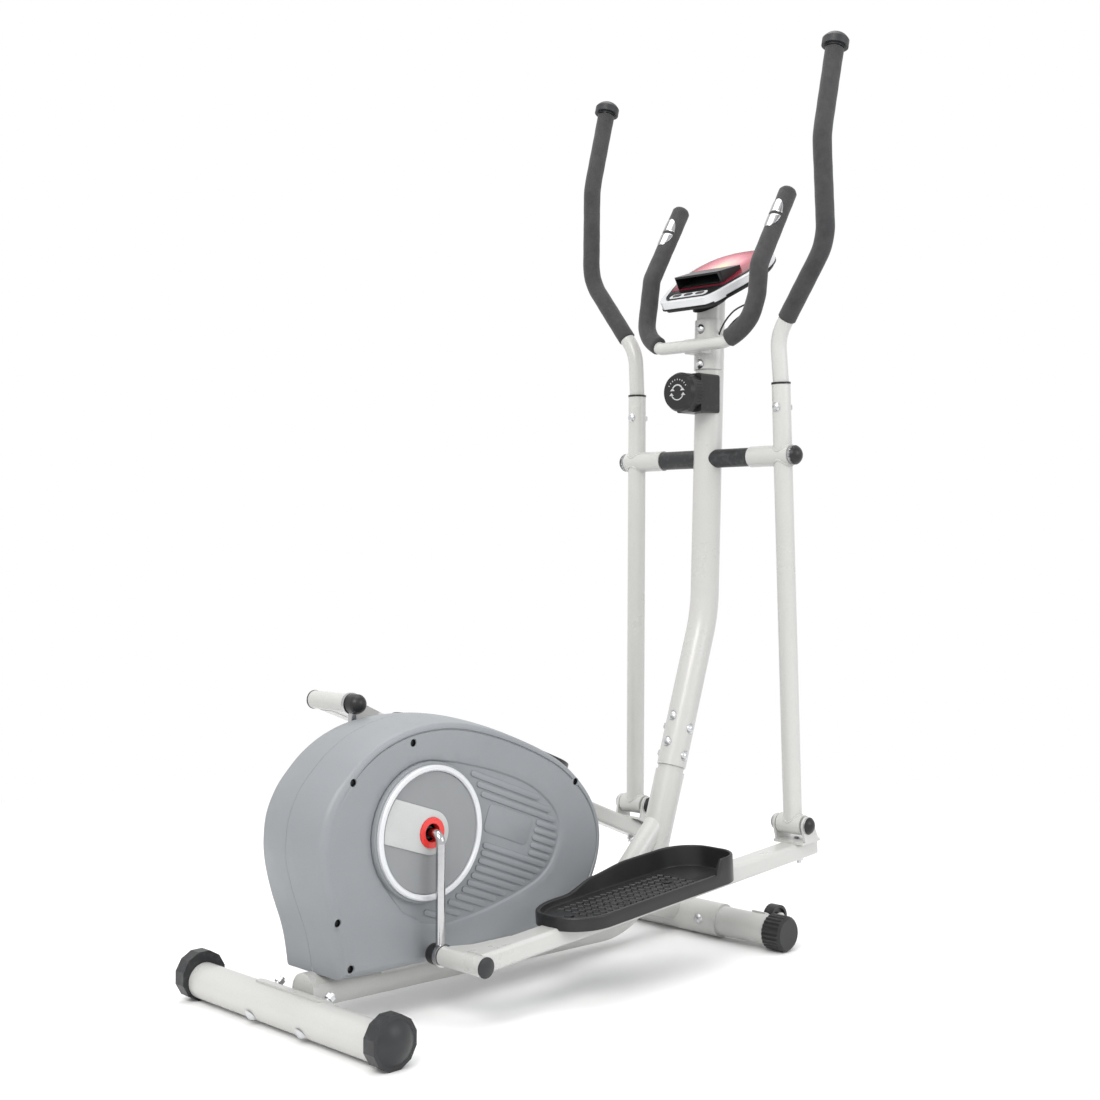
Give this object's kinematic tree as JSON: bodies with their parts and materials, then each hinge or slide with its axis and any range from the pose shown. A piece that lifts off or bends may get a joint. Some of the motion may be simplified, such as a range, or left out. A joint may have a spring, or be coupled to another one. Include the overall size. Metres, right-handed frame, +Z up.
{
  "type": "elliptical trainer",
  "caption": "Rear-drive elliptical trainer with linked swing arms, shoe-shaped pedals on long arms, a fixed bar with a display, a covered drive and two floor tubes.",
  "frame": {"origin": "centre of the bounding box at floor level", "axes": "+X the way the user faces, towards the mast; +Y the user's left; +Z up"},
  "size_m": [1.0571, 0.5954, 1.5175],
  "materials": {
    "frame_paint": "warm off-white satin powder coat",
    "bright_steel": "bright zinc plating",
    "crank_chrome": "polished chrome",
    "steel": "machined",
    "iron": "cast and turned",
    "case_grey": "satin mid grey",
    "silver_plastic": "silver",
    "inlay_grey": "satin grey with a paler wedge",
    "collar_red": "red",
    "black_plastic": "black",
    "charcoal_plastic": "charcoal",
    "foam": "dark grey foam",
    "belt_rubber": "ribbed belt",
    "panel_red": "maroon panel",
    "screen": "display window",
    "wire": "black lead"
  },
  "bodies": {
    "frame": {"main_frame": "frame_paint", "rear_stabilizer": "frame_paint", "front_stabilizer": "frame_paint", "front_caps": "black_plastic", "wheel_brackets": "frame_paint", "frame_bolts": "bright_steel", "mast_upright": "frame_paint", "pivot_axle": "steel", "pivot_sleeves": "charcoal_plastic", "handlebar": "frame_paint", "handlebar_bracket": "frame_paint", "bar_grip_right": "foam", "bar_grip_left": "foam", "pulse_plates": "bright_steel", "pulse_wires": "wire", "console_case": "silver_plastic", "console_panel": "panel_red", "console_hood": "black_plastic", "console_screen": "screen", "tension_box": "charcoal_plastic", "housing_right": "case_grey", "housing_left": "case_grey", "housing_screws": "bright_steel", "disc_rings": "silver_plastic", "disc_inlays": "inlay_grey", "crank_collars": "collar_red", "drive_hardware": "steel", "drive_belt": "belt_rubber"},
    "crank": {"crankset": "crank_chrome", "crank_caps": "black_plastic", "drive_pulley": "black_plastic"},
    "flywheel": {"flywheel": "iron"},
    "brake_shoe": {"brake_shoe": "steel"},
    "tension_knob": {"tension_knob": "charcoal_plastic"},
    "right_arm": {"lower_arm_right": "frame_paint", "upper_arm_right": "frame_paint", "arm_grip_right": "foam", "arm_cap_right": "foam", "arm_fittings_right": "steel"},
    "right_pivot": {"lower_pivot_right": "charcoal_plastic"},
    "right_pedal": {"pedal_arm_right": "frame_paint", "pedal_arm_fittings_right": "bright_steel", "pedal_right": "black_plastic"},
    "right_wheel": {"transport_wheel_right": "black_plastic"},
    "right_foot": {"rear_leveller_right": "charcoal_plastic"},
    "left_arm": {"lower_arm_left": "frame_paint", "upper_arm_left": "frame_paint", "arm_grip_left": "foam", "arm_cap_left": "foam", "arm_fittings_left": "steel"},
    "left_pivot": {"lower_pivot_left": "charcoal_plastic"},
    "left_pedal": {"pedal_arm_left": "frame_paint", "pedal_arm_fittings_left": "bright_steel", "pedal_left": "black_plastic"},
    "left_wheel": {"transport_wheel_left": "black_plastic"},
    "left_foot": {"rear_leveller_left": "charcoal_plastic"},
    "button_right": {"console_button_right": "silver_plastic"},
    "button_middle": {"console_button_middle": "silver_plastic"},
    "button_left": {"console_button_left": "silver_plastic"}
  },
  "joints": [
    {"name": "crank_spin", "type": "hinge", "parent": "frame", "child": "crank", "pos_m": [-0.30765, 0, 0.257], "axis": [0, 1, 0], "continuous": true},
    {"name": "flywheel_spin", "type": "hinge", "parent": "frame", "child": "flywheel", "pos_m": [-0.06665, 0, 0.2], "axis": [0, 1, 0], "continuous": true},
    {"name": "tension_knob_turn", "type": "hinge", "parent": "frame", "child": "tension_knob", "pos_m": [0.34635, 0, 0.932], "axis": [1, 0, 0], "range_deg": [0, 300]},
    {"name": "brake_shoe_swing", "type": "hinge", "parent": "frame", "child": "brake_shoe", "pos_m": [-0.04665, 0, 0.303], "axis": [0, 1, 0], "range_deg": [-4, 0]},
    {"name": "right_arm_swing", "type": "hinge", "parent": "frame", "child": "right_arm", "pos_m": [0.40205, -0.167, 0.818], "axis": [0, 1, 0], "range_deg": [-15, 15]},
    {"name": "left_arm_swing", "type": "hinge", "parent": "frame", "child": "left_arm", "pos_m": [0.40205, 0.167, 0.818], "axis": [0, 1, 0], "range_deg": [-15, 15]},
    {"name": "right_pivot_level", "type": "hinge", "parent": "right_arm", "child": "right_pivot", "pos_m": [0.43063, -0.167, 0.18865], "axis": [0, 1, 0], "range_deg": [-15, 15]},
    {"name": "left_pivot_level", "type": "hinge", "parent": "left_arm", "child": "left_pivot", "pos_m": [0.39875, 0.167, 0.18801], "axis": [0, 1, 0], "range_deg": [-15, 15]},
    {"name": "right_pedal_pitch", "type": "hinge", "parent": "right_pivot", "child": "right_pedal", "pos_m": [0.43063, -0.167, 0.18865], "axis": [0, 1, 0], "range_deg": [0, 26.38]},
    {"name": "left_pedal_pitch", "type": "hinge", "parent": "left_pivot", "child": "left_pedal", "pos_m": [0.39875, 0.167, 0.18801], "axis": [0, 1, 0], "range_deg": [-26.38, 0]},
    {"name": "right_wheel_roll", "type": "hinge", "parent": "frame", "child": "right_wheel", "pos_m": [0.37735, -0.169, 0.038], "axis": [0, 1, 0], "continuous": true},
    {"name": "left_wheel_roll", "type": "hinge", "parent": "frame", "child": "left_wheel", "pos_m": [0.37735, 0.169, 0.038], "axis": [0, 1, 0], "continuous": true},
    {"name": "right_foot_turn", "type": "hinge", "parent": "frame", "child": "right_foot", "pos_m": [-0.49365, -0.225, 0.028], "axis": [0, 1, 0], "range_deg": [-90, 90]},
    {"name": "left_foot_turn", "type": "hinge", "parent": "frame", "child": "left_foot", "pos_m": [-0.49365, 0.225, 0.028], "axis": [0, 1, 0], "range_deg": [-90, 90]},
    {"name": "button_right_press", "type": "slide", "parent": "frame", "child": "button_right", "axis": [0.5225, 0, -0.8526], "range_m": [0, 0.0014], "stiffness_N_per_m": 300, "springref_m": -0.001},
    {"name": "button_middle_press", "type": "slide", "parent": "frame", "child": "button_middle", "axis": [0.5225, 0, -0.8526], "range_m": [0, 0.0014], "stiffness_N_per_m": 300, "springref_m": -0.001},
    {"name": "button_left_press", "type": "slide", "parent": "frame", "child": "button_left", "axis": [0.5225, 0, -0.8526], "range_m": [0, 0.0014], "stiffness_N_per_m": 300, "springref_m": -0.001}
  ],
  "couplings": [
    {"joint": "flywheel_spin", "follows": "crank_spin", "ratio": 6.25},
    {"joint": "brake_shoe_swing", "follows": "tension_knob_turn", "ratio": -0.013333},
    {"joint": "left_arm_swing", "follows": "right_arm_swing", "ratio": -1},
    {"joint": "right_pivot_level", "follows": "right_arm_swing", "ratio": -1},
    {"joint": "left_pivot_level", "follows": "right_arm_swing", "ratio": 1},
    {"joint": "left_pedal_pitch", "follows": "right_pedal_pitch", "ratio": -1}
  ]
}
